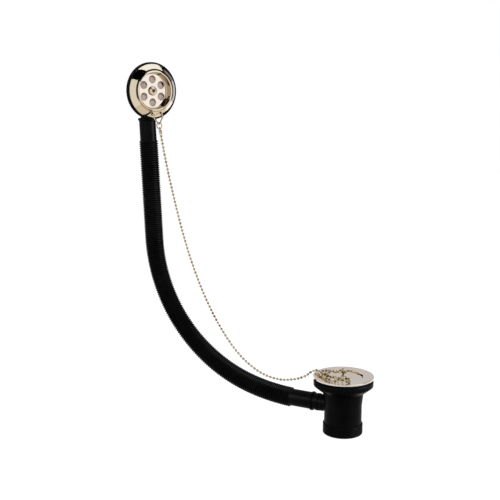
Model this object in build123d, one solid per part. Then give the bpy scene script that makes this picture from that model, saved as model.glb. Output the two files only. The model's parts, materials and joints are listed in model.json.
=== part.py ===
"""Bath waste and overflow: a dished overflow face, a corrugated hose, a waste with plug, and a bead chain.

The origin is the centre of the waste flange's underside, on the bath floor. +Z is up, and +X is the way
the overflow face looks. Sizes are in millimetres and angles in degrees.
"""
from build123d import *
import os
from math import atan2, cos, radians, sin, tan

os.makedirs("parts", exist_ok=True)

# Where the overflow face stands from the waste
OVERFLOW_RISE = 337.0
OVERFLOW_BACK = 218.7
OVERFLOW_SIDE = 126.3

# Overflow face: a dome round a dish with a rolled rim, heights counted from the dish floor
PLATE_R = 32.75
PLATE_WALL = 1.2
PLATE_EDGE = 0.9
DISH_DEPTH = 7.4
DISH_RIM_R = 24.8
DISH_FLOOR_R = 21.0
RIM_WIDTH = 2.4
RIM_ROUND = 1.1
RIM_GAP = 0.5
DOME_HEIGHT = 5.9
DISH_ROUND = 0.8
FACE_HOLES = 6
FACE_FIRST_HOLE = 90.0
FACE_HOLE_R = 4.95
FACE_HOLE_RING = 14.05

# Screw of the overflow face
FACE_SCREW_R = 2.9
FACE_SCREW_LENGTH = 16.0
FACE_SCREW_HEAD_R = 5.4
FACE_SCREW_HEAD = 3.0
FACE_SCREW_BROW = 1.6
FACE_SCREW_SOCKET = 4.0
FACE_SCREW_SOCKET_DEPTH = 2.6

# Rubber seal behind the face
SEAL_PROUD = 2.25
SEAL_LAP = 5.75
SEAL_THICKNESS = 4.5
SEAL_ROUND = 1.2

# Overflow body: a flanged cup with a tail pointing down
CUP_FLANGE_INSET = 2.4
CUP_FLANGE = 2.4
CUP_FLANGE_ROUND = 0.6
CUP_R = 26.8
CUP_WALL = 2.2
CUP_DEPTH = 25.6
CUP_SHOULDER = 5.0
CUP_BACK_R = 15.0
CUP_BACK_ROUND = 5.0
CUP_LEDGE_DEPTH = 3.6
CUP_LEDGE = 1.7
TAIL_SET_BACK = 16.9
TAIL_TURN = 2.7
TAIL_BORE_R = 6.2
CUP_RIB = 2.0
CUP_RIBS = 4

# Grey carrier that takes the face screw, and the brass inserts
BRIDGE_R = 18.8
BRIDGE_THICKNESS = 3.0
BRIDGE_ARM = 7.0
BRIDGE_ARMS = 3
BRIDGE_FIRST_ARM = 90.0
BRIDGE_FIT = 0.3
BRIDGE_BOSS_R = 7.0
BRIDGE_BOSS = 11.0
INSERT_WALL = 1.6
INSERT_LENGTH = 10.0

# Corrugated hose
HOSE_BORE_R = 8.3
HOSE_RIB_R = 11.6
HOSE_VALLEY_R = 10.6
RIB_PITCH = 2.8
CUFF_R = 10.4
CUFF_RIM_R = 11.6
CUFF_RIM = 3.0
CUFF_RIM_SLOPE = 0.8
UPPER_CUFF = 28.5
UPPER_CUFF_START = 33.4
LOWER_CUFF = 30.5
HOSE_BEND_R = 187.0
HOSE_BEND = 74.0
HOSE_EASE_R = 251.0

# Spigots that the hose is pushed on
SPIGOT_CLEARANCE = 0.2
SPIGOT_GRIP = 24.0
SPIGOT_TIP = 1.5
INLET_DROP = 36.0
INLET_BORE_R = 6.4
INLET_ROOT_R = 9.5
INLET_COLLAR_R = 10.6
INLET_COLLAR = 4.0
INLET_COLLAR_GAP = 3.8
INLET_RING_R = 10.2
INLET_RING = 2.4
INLET_RING_GAP = 5.1

# Waste flange with its plug seat and cross grid
FLANGE_OVERHANG = 0.6
FLANGE_THICKNESS = 2.2
FLANGE_ROUND = 0.8
FLANGE_FOOT_ROUND = 0.3
MOUTH_ROUND = 0.4
RECESS_R = 23.3
SEAT_TOP = 1.2
SEAT_DEPTH = 6.0
SEAT_LOW_R = 19.8
FLANGE_WALL = 1.5
FLANGE_DEPTH = 16.5
GRID_BARS = 4
GRID_BAR = 3.2
GRID_HEIGHT = 3.5
HUB_R = 7.0

# Screw through the waste
WASTE_SCREW_R = 3.0
WASTE_SCREW_HEAD_R = 5.6
WASTE_SCREW_LENGTH = 20.0
SCREW_CLEARANCE = 0.2

# Rubber washer and moulded waste body
WASHER_INSET = 0.45
WASHER_THICKNESS = 3.0
WASHER_ROUND = 0.6
BODY_FLANGE_R = 35.8
BODY_FLANGE = 6.2
BODY_FLANGE_ROUND = 1.2
BODY_CONE = 9.4
BODY_WALL = 2.4
BODY_WAIST_DEPTH = 34.0
BODY_WAIST = 1.7
BODY_LENGTH = 56.5
BODY_BORE_R = 20.4
BODY_FIT = 0.5
OUTLET_THREAD_R = 23.9
OUTLET_THREAD = 12.4
OUTLET_ROUND = 1.5
THREAD_START_ROUND = 0.4
SPIDER_DEPTH = 20.5
SPIDER_HEIGHT = 6.0
SPIDER_ARMS = 3
SPIDER_FIRST_ARM = 90.0
SPIDER_ARM = 3.6
SPIDER_ROOT = 1.0
SPIDER_BOSS_R = 7.0
SPIDER_BOSS = 10.0

# Plug with its rubber ring, eye and nut
PLUG_SINK = 2.0
PLUG_GAP = 1.4
PLUG_DISC = 1.8
PLUG_ROUND = 0.5
PLUG_EDGE_ROUND = 0.2
PLUG_NECK_R = 17.0
PLUG_NECK = 4.2
PLUG_FOOT_R = 18.6
PLUG_FOOT = 1.3
PLUG_SEAT_GAP = 0.3
EYE_COLLAR_R = 3.4
EYE_COLLAR = 1.2
EYE_STEM_R = 1.6
EYE_RISE = 7.2
EYE_RING_R = 2.6
EYE_WIRE_R = 1.1
EYE_TAIL = 11.0
EYE_TURN = -80.0
NUT_ACROSS = 7.0
NUT_HEIGHT = 3.0

# Wire stay of the chain, hung in two slots of the face
STAY_WIRE_R = 0.9
STAY_R = 28.3
STAY_TURN = 4.0
STAY_HALF = 6.0
STAY_BAR = 2.4
STAY_REACH = 6.9
STAY_DROP = 4.5
STAY_LENGTH = 13.5
STAY_BEND_R = 1.5
STAY_SWING = 20.0
STAY_CLEARANCE = 0.3

# Rings, couplings and beads of the chain
RING_R = 3.85
RING_WIRE_R = 0.65
RING_TURN = 20.0
PLUG_RING_R = 3.4
PLUG_RING_DIP = 15.0
LINK_CLEARANCE = 0.25
COUPLING_EYE_R = 1.6
COUPLING_WIRE_R = 0.5
COUPLING_R = 1.9
COUPLING_LENGTH = 7.0
COUPLING_SHOULDER = 1.0
CHAIN_R = 1.65
CHAIN_PULL_OUT = 8.0
CHAIN_PULL_SIDE = 6.0
CHAIN_GAP = 0.2

# The chain's route between its two couplings: hanging, over the flange's edge, then heaped on the flange
CHAIN_ROUTE = [
    (-204.2, -118.6, 254.0),
    (-197.6, -113.8, 217.0),
    (-188.5, -107.8, 173.0),
    (-175.8, -100.7, 127.0),
    (-159.7, -91.7, 83.0),
    (-140.0, -80.7, 43.0),
    (-118.2, -68.5, 11.5),
    (-93.8, -54.8, -8.0),
    (-71.6, -42.3, -13.8),
    (-54.6, -32.6, -11.0),
    (-42.8, -25.0, -6.0),
    (-34.4, -19.4, 3.0),
    (-25.8, -17.4, 5.8),
    (-17.3, -23.8, 4.1),
    (-6.5, -26.1, 4.1),
    (3.1, -29.1, 4.1),
    (12.7, -29.1, 4.1),
    (20.8, -24.9, 4.1),
    (25.0, -18.2, 4.1),
    (22.8, -9.4, 4.6),
    (12.6, -6.8, 2.9),
    (5.2, -11.7, 2.1),
    (-0.7, -16.2, 2.1),
    (-7.2, -18.6, 3.4),
    (-15.0, -19.8, 4.4),
    (-21.4, -16.7, 4.2),
    (-23.6, -11.4, 4.2),
    (-21.8, -5.9, 4.1),
    (-16.9, -2.9, 3.2),
]
CHAIN_CORNER = 0.47


def turned(*lines):
    """A solid of revolution about Z from a closed outline drawn as (radius, height)."""
    outline = [edge for line in lines for edge in line.edges()]
    return revolve(Plane.XZ * make_face(outline), Axis.Z)


def turned_points(*points):
    """A solid of revolution about Z from the corners of its outline."""
    return turned(Polyline(*points, close=True))


def rod(radius, low, high):
    """A round bar on Z between two heights."""
    return Pos(0, 0, low) * Cylinder(radius, high - low, align=(Align.CENTER, Align.CENTER, Align.MIN))


def spokes(count, width, inner, outer, low, high, start=0.0):
    """Flat bars set round Z like the spokes of a wheel."""
    size = (outer - inner, width, high - low)
    bar = Pos(inner, 0, low) * Box(*size, align=(Align.MIN, Align.CENTER, Align.MIN))
    return [Rot(0, 0, start + index * 360 / count) * bar for index in range(count)]


def ring(plane, radius, wire_radius):
    """A wire ring lying in a plane."""
    return plane * Torus(radius, wire_radius)


# Radii that follow from a neighbour's: the seal from the face, the flange and washer from the body's flange
seal_r = PLATE_R + SEAL_PROUD
seal_bore_r = PLATE_R - SEAL_LAP
cup_flange_r = seal_r - CUP_FLANGE_INSET
flange_r = BODY_FLANGE_R + FLANGE_OVERHANG
washer_r = BODY_FLANGE_R - WASHER_INSET
plug_r = RECESS_R - PLUG_GAP

# The flange's neck sets the body's throat, and the throat its barrel
neck_r = SEAT_LOW_R + FLANGE_WALL
throat_r = neck_r + BODY_FIT
body_r = throat_r + BODY_WALL
body_waist_r = body_r - BODY_WAIST

# Frames of the overflow face, its tail and the hose's two ends
face_centre = Vector(-OVERFLOW_BACK, -OVERFLOW_SIDE, OVERFLOW_RISE)
face_frame = Plane(face_centre, x_dir=(0, 1, 0), z_dir=(1, 0, 0))
tail_dir = Vector(0, sin(radians(TAIL_TURN)), -cos(radians(TAIL_TURN)))
tail_centre = face_centre - Vector(TAIL_SET_BACK, 0, 0)
tail_frame = Plane(tail_centre, x_dir=(1, 0, 0), z_dir=tail_dir)

inlet_centre = Vector(0, 0, -INLET_DROP)
hose_normal = tail_dir.cross(inlet_centre - tail_centre).normalized()
inlet_dir = Vector(0, 0, 1).cross(hose_normal).normalized()
inlet_frame = Plane(inlet_centre, x_dir=(0, 0, 1), z_dir=-inlet_dir)
inlet_stop = body_waist_r + INLET_RING_GAP + INLET_RING + INLET_COLLAR + INLET_COLLAR_GAP

spigot_r = HOSE_BORE_R - SPIGOT_CLEARANCE


def spigot(start):
    """The plain end that carries a cuff, with a slightly tapered tip."""
    end = start + SPIGOT_GRIP
    return turned_points((0, start), (spigot_r, start), (spigot_r, end - SPIGOT_TIP),
                         (spigot_r - SPIGOT_TIP / 2, end), (0, end))


def overflow_plate():
    """The dome, rolled rim and dish as one turned form, then its holes and the stay's slots."""
    rim_inner = DISH_RIM_R - RIM_WIDTH
    slope = atan2(DISH_DEPTH, rim_inner - DISH_FLOOR_R)
    back_r = DISH_FLOOR_R + PLATE_WALL / sin(slope)
    back_dome = DOME_HEIGHT - PLATE_WALL
    groove = DOME_HEIGHT - RIM_GAP
    dome_top = (DISH_RIM_R + RIM_GAP, DOME_HEIGHT)
    dome_edge = (PLATE_R, PLATE_EDGE)
    back_dome_top = (DISH_RIM_R + RIM_GAP, back_dome)
    back_edge = (PLATE_R - PLATE_WALL, 0)
    plate = turned(
        FilletPolyline(back_dome_top, (back_r + back_dome / tan(slope), back_dome),
                       (back_r - PLATE_WALL / tan(slope), -PLATE_WALL), (0, -PLATE_WALL), (0, 0),
                       (DISH_FLOOR_R, 0), (rim_inner, DISH_DEPTH), (DISH_RIM_R, DISH_DEPTH),
                       (DISH_RIM_R, groove), (DISH_RIM_R + RIM_GAP, groove), dome_top,
                       radius=[0, DISH_ROUND + PLATE_WALL, 0, 0, DISH_ROUND, RIM_ROUND, RIM_ROUND, 0, 0]),
        TangentArc(dome_top, dome_edge, tangent=(1, 0)),
        Polyline(dome_edge, (PLATE_R, 0), back_edge),
        TangentArc(back_dome_top, back_edge, tangent=(1, 0)),
    )
    hole = rod(FACE_HOLE_R, -2 * PLATE_WALL, PLATE_WALL)
    plate -= [loc * hole for loc in PolarLocations(FACE_HOLE_RING, FACE_HOLES, FACE_FIRST_HOLE)]
    plate -= rod(FACE_SCREW_R + SCREW_CLEARANCE, -2 * PLATE_WALL, PLATE_WALL)
    slot_low = STAY_R + STAY_WIRE_R + STAY_CLEARANCE
    sweep_in = (DOME_HEIGHT - STAY_BAR) * tan(radians(STAY_SWING)) + STAY_WIRE_R / cos(radians(STAY_SWING))
    slot_high = STAY_R - sweep_in - STAY_CLEARANCE
    outline = SlotOverall(slot_low - slot_high, 2 * (STAY_WIRE_R + STAY_CLEARANCE), rotation=90)
    slot = extrude(outline, DISH_DEPTH)
    for side in (-STAY_HALF, STAY_HALF):
        plate -= Rot(0, 0, STAY_TURN) * Pos(side, -(slot_low + slot_high) / 2, STAY_BAR) * slot
    return face_frame * plate


def overflow_screw():
    """A low domed head with a hexagon socket, on a plain shank."""
    top = (0, FACE_SCREW_HEAD)
    brow = (FACE_SCREW_HEAD_R, FACE_SCREW_BROW)
    screw = turned(
        Polyline(top, (0, -FACE_SCREW_LENGTH), (FACE_SCREW_R, -FACE_SCREW_LENGTH), (FACE_SCREW_R, 0),
                 (FACE_SCREW_HEAD_R, 0), brow),
        TangentArc(top, brow, tangent=(1, 0)),
    )
    socket = extrude(RegularPolygon(FACE_SCREW_SOCKET / 2, 6, major_radius=False), FACE_SCREW_SOCKET_DEPTH)
    return face_frame * (screw - Pos(0, 0, FACE_SCREW_HEAD - FACE_SCREW_SOCKET_DEPTH) * socket)


def overflow_seal():
    """A flat rubber ring whose rounded rim stands out past the face."""
    outline = FilletPolyline((seal_bore_r, 0), (seal_r, 0), (seal_r, -SEAL_THICKNESS),
                             (seal_bore_r, -SEAL_THICKNESS),
                             radius=[0, SEAL_ROUND, SEAL_ROUND, 0], close=True)
    return face_frame * turned(outline)


cup_front = -SEAL_THICKNESS
cup_flange_back = cup_front - CUP_FLANGE
cup_back = cup_front - CUP_DEPTH
shoulder_height = cup_flange_back - CUP_SHOULDER
ledge_height = cup_front - CUP_LEDGE_DEPTH
cup_bore_r = CUP_R - CUP_WALL
bridge_front = ledge_height + BRIDGE_THICKNESS


def overflow_body():
    """A cup that narrows to the back, its flange and ribs, a ledge for the carrier and a hollow tail."""
    shell = turned(FilletPolyline(
        (0, cup_front), (cup_flange_r, cup_front), (cup_flange_r, cup_flange_back), (CUP_R, cup_flange_back),
        (CUP_R, shoulder_height), (CUP_BACK_R, cup_back), (0, cup_back),
        radius=[0, CUP_FLANGE_ROUND, CUP_FLANGE_ROUND, 0, CUP_BACK_ROUND, CUP_BACK_ROUND, 0], close=True))
    ribs = spokes(CUP_RIBS, CUP_RIB, CUP_R - CUP_WALL, cup_flange_r - CUP_WALL,
                  cup_flange_back - CUP_SHOULDER / 2, cup_flange_back, start=180 / CUP_RIBS)
    hollow = turned_points((0, cup_front), (cup_bore_r, cup_front), (cup_bore_r, ledge_height),
                           (cup_bore_r - CUP_LEDGE, ledge_height), (cup_bore_r - CUP_LEDGE, shoulder_height),
                           (CUP_BACK_R - CUP_WALL, cup_back + CUP_WALL), (0, cup_back + CUP_WALL))
    tail = rod(spigot_r, 0, UPPER_CUFF_START) + spigot(UPPER_CUFF_START)
    bore = rod(TAIL_BORE_R, 0, UPPER_CUFF_START + SPIGOT_GRIP)
    body = face_frame * (shell + ribs) + tail_frame * tail
    return body - face_frame * hollow - tail_frame * bore


def screw_bridge():
    """A round carrier on three arms that sit on the cup's ledge, with a boss for the insert."""
    arm_end = cup_bore_r - BRIDGE_FIT
    carrier = rod(BRIDGE_R, ledge_height, bridge_front)
    carrier += spokes(BRIDGE_ARMS, BRIDGE_ARM, 0, arm_end, ledge_height, bridge_front, BRIDGE_FIRST_ARM)
    carrier += rod(BRIDGE_BOSS_R, ledge_height - BRIDGE_BOSS, ledge_height)
    carrier &= rod(arm_end, ledge_height - BRIDGE_BOSS, bridge_front)
    carrier -= rod(FACE_SCREW_R + INSERT_WALL, ledge_height - BRIDGE_BOSS, ledge_height)
    carrier -= rod(FACE_SCREW_R + SCREW_CLEARANCE, ledge_height, bridge_front)
    return face_frame * carrier


def insert(screw_radius, top):
    """A plain brass bush below a given height."""
    bush = rod(screw_radius + INSERT_WALL, top - INSERT_LENGTH, top)
    return bush - rod(screw_radius + SCREW_CLEARANCE, top - INSERT_LENGTH, top)


def hose_path():
    """Straight out of the tail, through a bend and a wider easing bend, then straight on to the inlet."""
    sideways = hose_normal.cross(tail_dir)
    start = tail_centre + tail_dir * UPPER_CUFF_START
    end = inlet_centre - inlet_dir * inlet_stop
    bend = radians(HOSE_BEND)
    turn = atan2(inlet_dir.dot(sideways), inlet_dir.dot(tail_dir))

    def heading(angle):
        return tail_dir * cos(angle) + sideways * sin(angle)

    def arc_step(radius, first, last):
        return (tail_dir * (sin(last) - sin(first)) + sideways * (cos(first) - cos(last))) * radius

    first_arc = arc_step(HOSE_BEND_R, 0, bend)
    second_arc = arc_step(HOSE_EASE_R, bend, turn)
    straight = end - start - first_arc - second_arc
    last_run = straight.dot(sideways) / sin(turn)
    first_run = straight.dot(tail_dir) - last_run * cos(turn)
    bend_start = start + tail_dir * first_run
    bend_end = bend_start + first_arc
    ease_end = bend_end + second_arc
    return Wire([
        Line(start, bend_start),
        TangentArc(bend_start, bend_end, tangent=tail_dir),
        TangentArc(bend_end, ease_end, tangent=heading(bend)),
        Line(ease_end, end),
    ])


def overflow_hose():
    """Rings of two radii in turn along the path make the corrugations, with a rimmed cuff at each end."""
    path = hose_path()
    ribbed = path.length - UPPER_CUFF - LOWER_CUFF
    ribs = round(ribbed / RIB_PITCH)
    half_pitch = ribbed / ribs / 2
    rim_foot = CUFF_RIM + CUFF_RIM_SLOPE
    stations = [(0, CUFF_RIM_R), (CUFF_RIM, CUFF_RIM_R), (rim_foot, CUFF_R),
                (UPPER_CUFF - half_pitch, CUFF_R)]
    for step in range(2 * ribs + 1):
        stations.append((UPPER_CUFF + step * half_pitch, HOSE_RIB_R if step % 2 else HOSE_VALLEY_R))
    stations += [(path.length - LOWER_CUFF + half_pitch, CUFF_R), (path.length - rim_foot, CUFF_R),
                 (path.length - CUFF_RIM, CUFF_RIM_R), (path.length, CUFF_RIM_R)]

    def section(distance, radius):
        share = distance / path.length
        frame = Plane(path.position_at(share), x_dir=hose_normal, z_dir=path.tangent_at(share))
        return frame * Circle(radius)

    outside = loft([section(distance, radius) for distance, radius in stations], ruled=True)
    return outside - sweep(section(0, HOSE_BORE_R), path=path)


seat_top = -SEAT_TOP
seat_low = seat_top - SEAT_DEPTH
grid_low = -FLANGE_DEPTH
grid_top = grid_low + GRID_HEIGHT
seat_slope = (RECESS_R - SEAT_LOW_R) / SEAT_DEPTH
waste_head = WASTE_SCREW_HEAD_R - WASTE_SCREW_R


def waste_flange():
    """The flange, its recessed tapering seat and the grid with its hub, as one casting."""
    outline = FilletPolyline(
        (RECESS_R, FLANGE_THICKNESS), (flange_r, FLANGE_THICKNESS), (flange_r, 0),
        (RECESS_R + FLANGE_WALL, 0), (RECESS_R + FLANGE_WALL, seat_top), (neck_r, seat_low),
        (neck_r, grid_low), (SEAT_LOW_R, grid_low),
        (SEAT_LOW_R, seat_low), (RECESS_R, seat_top),
        radius=[MOUTH_ROUND, FLANGE_ROUND, FLANGE_FOOT_ROUND, 0, 0, 0, 0, 0, 0, 0], close=True)
    bar_end = SEAT_LOW_R + FLANGE_WALL / 2
    flange = turned(outline) + spokes(GRID_BARS, GRID_BAR, 0, bar_end, grid_low, grid_top)
    flange += rod(HUB_R, grid_low, grid_top)
    sink = turned_points((0, grid_top), (WASTE_SCREW_HEAD_R + SCREW_CLEARANCE, grid_top),
                         (WASTE_SCREW_R + SCREW_CLEARANCE, grid_top - waste_head),
                         (WASTE_SCREW_R + SCREW_CLEARANCE, grid_low), (0, grid_low))
    return flange - sink


def waste_screw():
    """A countersunk slotted screw, flush with the hub."""
    end = grid_top - WASTE_SCREW_LENGTH
    screw = turned_points((0, grid_top), (WASTE_SCREW_HEAD_R, grid_top),
                          (WASTE_SCREW_R, grid_top - waste_head), (WASTE_SCREW_R, end), (0, end))
    slot = Pos(0, 0, grid_top) * Box(2 * WASTE_SCREW_HEAD_R, waste_head / 2, waste_head)
    return screw - slot


def flange_washer():
    """The thick rubber washer between the flange and the body."""
    bore = RECESS_R + FLANGE_WALL + BODY_FIT
    outline = FilletPolyline((bore, 0), (washer_r, 0), (washer_r, -WASHER_THICKNESS),
                             (bore, -WASHER_THICKNESS), radius=[0, WASHER_ROUND, WASHER_ROUND, 0], close=True)
    return turned(outline)


body_top = -WASHER_THICKNESS
body_flange_back = body_top - BODY_FLANGE
cone_foot = body_flange_back - BODY_CONE
body_foot = -BODY_LENGTH
outlet_end = body_foot - OUTLET_THREAD
spider_top = -SPIDER_DEPTH


def waste_body():
    """Flange, cone, barrel and outlet thread, with a screw spider inside and the hose inlet at the side."""
    cup_r = RECESS_R + FLANGE_WALL + BODY_FIT
    floor = grid_low - BODY_FIT
    shell = turned(FilletPolyline(
        (0, body_top), (BODY_FLANGE_R, body_top), (BODY_FLANGE_R, body_flange_back), (body_r, cone_foot),
        (body_waist_r, -BODY_WAIST_DEPTH), (body_waist_r, body_foot), (OUTLET_THREAD_R, body_foot),
        (OUTLET_THREAD_R, outlet_end), (0, outlet_end),
        radius=[0, BODY_FLANGE_ROUND, BODY_FLANGE_ROUND, 0, 0, 0, THREAD_START_ROUND, OUTLET_ROUND, 0],
        close=True))
    root = rod(INLET_ROOT_R, 0, inlet_stop)
    ring_start = body_waist_r + INLET_RING_GAP / 2
    root += rod(INLET_RING_R, ring_start, ring_start + INLET_RING)
    collar_end = inlet_stop - INLET_COLLAR_GAP
    root += rod(INLET_COLLAR_R, collar_end - INLET_COLLAR, collar_end)
    inlet = root + spigot(inlet_stop)
    bore = turned_points((0, body_top), (cup_r, body_top), (throat_r, seat_low - BODY_FIT), (throat_r, floor),
                         (BODY_BORE_R, floor), (BODY_BORE_R, outlet_end), (0, outlet_end))
    body = shell + inlet_frame * inlet - bore
    spider = rod(SPIDER_BOSS_R, spider_top - SPIDER_BOSS, spider_top)
    spider += spokes(SPIDER_ARMS, SPIDER_ARM, 0, BODY_BORE_R + SPIDER_ROOT, spider_top - SPIDER_HEIGHT,
                     spider_top, SPIDER_FIRST_ARM)
    body += spider
    body -= rod(WASTE_SCREW_R + INSERT_WALL, spider_top - SPIDER_BOSS, spider_top)
    return body - inlet_frame * rod(INLET_BORE_R, BODY_BORE_R / 2, inlet_stop + SPIGOT_GRIP)


plug_top = FLANGE_THICKNESS - PLUG_SINK
plug_under = plug_top - PLUG_DISC
plug_foot_top = plug_under - PLUG_NECK
plug_foot_end = plug_foot_top - PLUG_FOOT


def plug():
    """A turned disc with a neck for the rubber ring and a foot that keeps it on."""
    outline = FilletPolyline(
        (EYE_STEM_R, plug_top), (plug_r, plug_top), (plug_r, plug_under), (PLUG_NECK_R, plug_under),
        (PLUG_NECK_R, plug_foot_top), (PLUG_FOOT_R, plug_foot_top), (PLUG_FOOT_R, plug_foot_end),
        (EYE_STEM_R, plug_foot_end),
        radius=[0, PLUG_ROUND, PLUG_EDGE_ROUND, 0, 0, PLUG_EDGE_ROUND, PLUG_EDGE_ROUND, 0], close=True)
    return turned(outline)


def plug_seal():
    """A tapered rubber ring that follows the seat."""
    top_r = RECESS_R + seat_slope * (plug_under - seat_top) - PLUG_SEAT_GAP
    low_r = RECESS_R + seat_slope * (plug_foot_top - seat_top) - PLUG_SEAT_GAP
    return turned_points((PLUG_NECK_R, plug_under), (min(top_r, plug_r), plug_under), (low_r, plug_foot_top),
                         (PLUG_NECK_R, plug_foot_top))


eye_centre = Vector(0, 0, plug_top + EYE_RISE)
eye_normal = Vector(cos(radians(EYE_TURN)), sin(radians(EYE_TURN)), 0)
eye_side = eye_normal.cross(Vector(0, 0, 1))
plug_link = eye_side * cos(radians(PLUG_RING_DIP)) - Vector(0, 0, sin(radians(PLUG_RING_DIP)))


def plug_eye():
    """A stem through the plug with a collar and a ring on top."""
    eye = rod(EYE_STEM_R, plug_top - EYE_TAIL, eye_centre.Z - EYE_RING_R)
    eye += rod(EYE_COLLAR_R, plug_top, plug_top + EYE_COLLAR)
    return eye + ring(Plane(eye_centre, z_dir=eye_normal), EYE_RING_R, EYE_WIRE_R)


def plug_nut():
    """A hexagon nut under the plug's foot."""
    hexagon = RegularPolygon(NUT_ACROSS / 2, 6, major_radius=False) - Circle(EYE_STEM_R)
    return Pos(0, 0, plug_foot_end - NUT_HEIGHT) * extrude(hexagon, NUT_HEIGHT)


# Frame of the stay: across along its bar, down along its legs, out away from the face
stay_frame = face_frame * Rot(0, 0, STAY_TURN) * Pos(0, -STAY_R, STAY_BAR)


def stay_point(across, down, out):
    """A place on the stay in the part's frame."""
    return (stay_frame * Pos(across, -down, out)).position


def chain_stay():
    """One closed loop of wire: a bar behind the face, two legs through its slots, and a point below."""
    corners = [(-STAY_HALF, 0, 0), (STAY_HALF, 0, 0), (STAY_HALF, 0, STAY_REACH),
               (STAY_HALF, STAY_DROP, STAY_REACH), (0, STAY_LENGTH, STAY_REACH),
               (-STAY_HALF, STAY_DROP, STAY_REACH), (-STAY_HALF, 0, STAY_REACH)]
    path = FilletPolyline(*[stay_point(*corner) for corner in corners], radius=STAY_BEND_R, close=True)
    return sweep(Plane(path @ 0, z_dir=path % 0) * Circle(STAY_WIRE_R), path=path)


leg_angle = atan2(STAY_HALF, STAY_LENGTH - STAY_DROP)
apex = stay_point(0, STAY_LENGTH - STAY_BEND_R * (1 / sin(leg_angle) - 1), STAY_REACH)
pull = Vector(sin(radians(CHAIN_PULL_OUT)), sin(radians(CHAIN_PULL_SIDE)), -1).normalized()
ring_across = Vector(-sin(radians(RING_TURN)), cos(radians(RING_TURN)), 0)
ring_normal = (ring_across - pull * ring_across.dot(pull)).normalized()
ring_drop = RING_R - RING_WIRE_R - STAY_WIRE_R - LINK_CLEARANCE
stay_ring_centre = apex + pull * ring_drop
stay_coupling_eye = stay_ring_centre + pull * RING_R
plug_ring_centre = eye_centre + plug_link * PLUG_RING_R
plug_coupling_eye = plug_ring_centre + plug_link * PLUG_RING_R


def coupling(centre, along, across):
    """A pressed bell with an eye at its end, pointing along the chain."""
    bell = turned_points((0, COUPLING_EYE_R), (COUPLING_WIRE_R * 2, COUPLING_EYE_R),
                         (COUPLING_R, COUPLING_EYE_R + COUPLING_SHOULDER), (COUPLING_R, COUPLING_LENGTH),
                         (0, COUPLING_LENGTH))
    frame = Plane(centre, x_dir=across, z_dir=along)
    return frame * bell + ring(Plane(centre, z_dir=along.cross(across)), COUPLING_EYE_R, COUPLING_WIRE_R)


def corner_radii(points):
    """The largest radius that each corner of a route leaves room for."""
    radii = []
    for before, here, after in zip(points, points[1:], points[2:]):
        turn = radians((here - before).get_angle(after - here))
        radii.append(CHAIN_CORNER * min((here - before).length, (after - here).length) / tan(turn / 2))
    return radii


def bead_chain():
    """The chain's outer size as a plain tube from one coupling to the other."""
    first = stay_coupling_eye + pull * (COUPLING_LENGTH + CHAIN_GAP)
    last = plug_coupling_eye + plug_link * (COUPLING_LENGTH + CHAIN_GAP)
    points = [first, *[Vector(*point) for point in CHAIN_ROUTE], last]
    radii = corner_radii(points)
    path = FilletPolyline(*points, radius=radii)
    tube = sweep(Plane(first, z_dir=path % 0) * Circle(CHAIN_R), path=path)
    section = Circle(CHAIN_R).area
    print("chain ends", [round(value, 2) for value in first], [round(value, 2) for value in last])
    print("chain radii", [round(radius, 1) for radius in radii])
    print(f"chain length {path.length:.1f}, tube volume over section times length "
          f"{tube.volume / (section * path.length):.4f}")
    return tube


pieces = {
    "overflow_plate": overflow_plate(),
    "overflow_screw": overflow_screw(),
    "overflow_seal": overflow_seal(),
    "overflow_body": overflow_body(),
    "screw_bridge": screw_bridge(),
    "overflow_insert": face_frame * insert(FACE_SCREW_R, ledge_height),
    "overflow_hose": overflow_hose(),
    "chain_stay": chain_stay(),
    "stay_ring": ring(Plane(stay_ring_centre, z_dir=ring_normal), RING_R, RING_WIRE_R),
    "stay_coupling": coupling(stay_coupling_eye, pull, ring_normal),
    "bead_chain": bead_chain(),
    "plug_coupling": coupling(plug_coupling_eye, plug_link, eye_normal.cross(plug_link)),
    "plug_ring": ring(Plane(plug_ring_centre, z_dir=eye_normal.cross(plug_link)), PLUG_RING_R, RING_WIRE_R),
    "waste_flange": waste_flange(),
    "waste_screw": waste_screw(),
    "flange_washer": flange_washer(),
    "waste_body": waste_body(),
    "body_insert": insert(WASTE_SCREW_R, spider_top),
    "plug": plug(),
    "plug_seal": plug_seal(),
    "plug_eye": plug_eye(),
    "plug_nut": plug_nut(),
}

for name, piece in pieces.items():
    export_step(piece, f"parts/{name}.step")
print(f"hose: path {hose_path().length:.1f}, inlet direction {inlet_dir}")
print(f"stay hinge at {stay_point(0, 0, 0)}, along {stay_point(1, 0, 0) - stay_point(0, 0, 0)}")
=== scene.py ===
# %% [markdown]
# # A bath waste and overflow
# A dished metal face on the bath's wall takes the water that rises too high, a corrugated hose leads it to
# the waste in the bath's floor, and a bead chain ties the plug to the face. The CAD frame already holds
# every piece at its true place and size, so this lesson only gives the pieces their real surfaces and
# finishes.

# %% Load the frame
import json
from math import cos, pi, radians, sin

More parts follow.
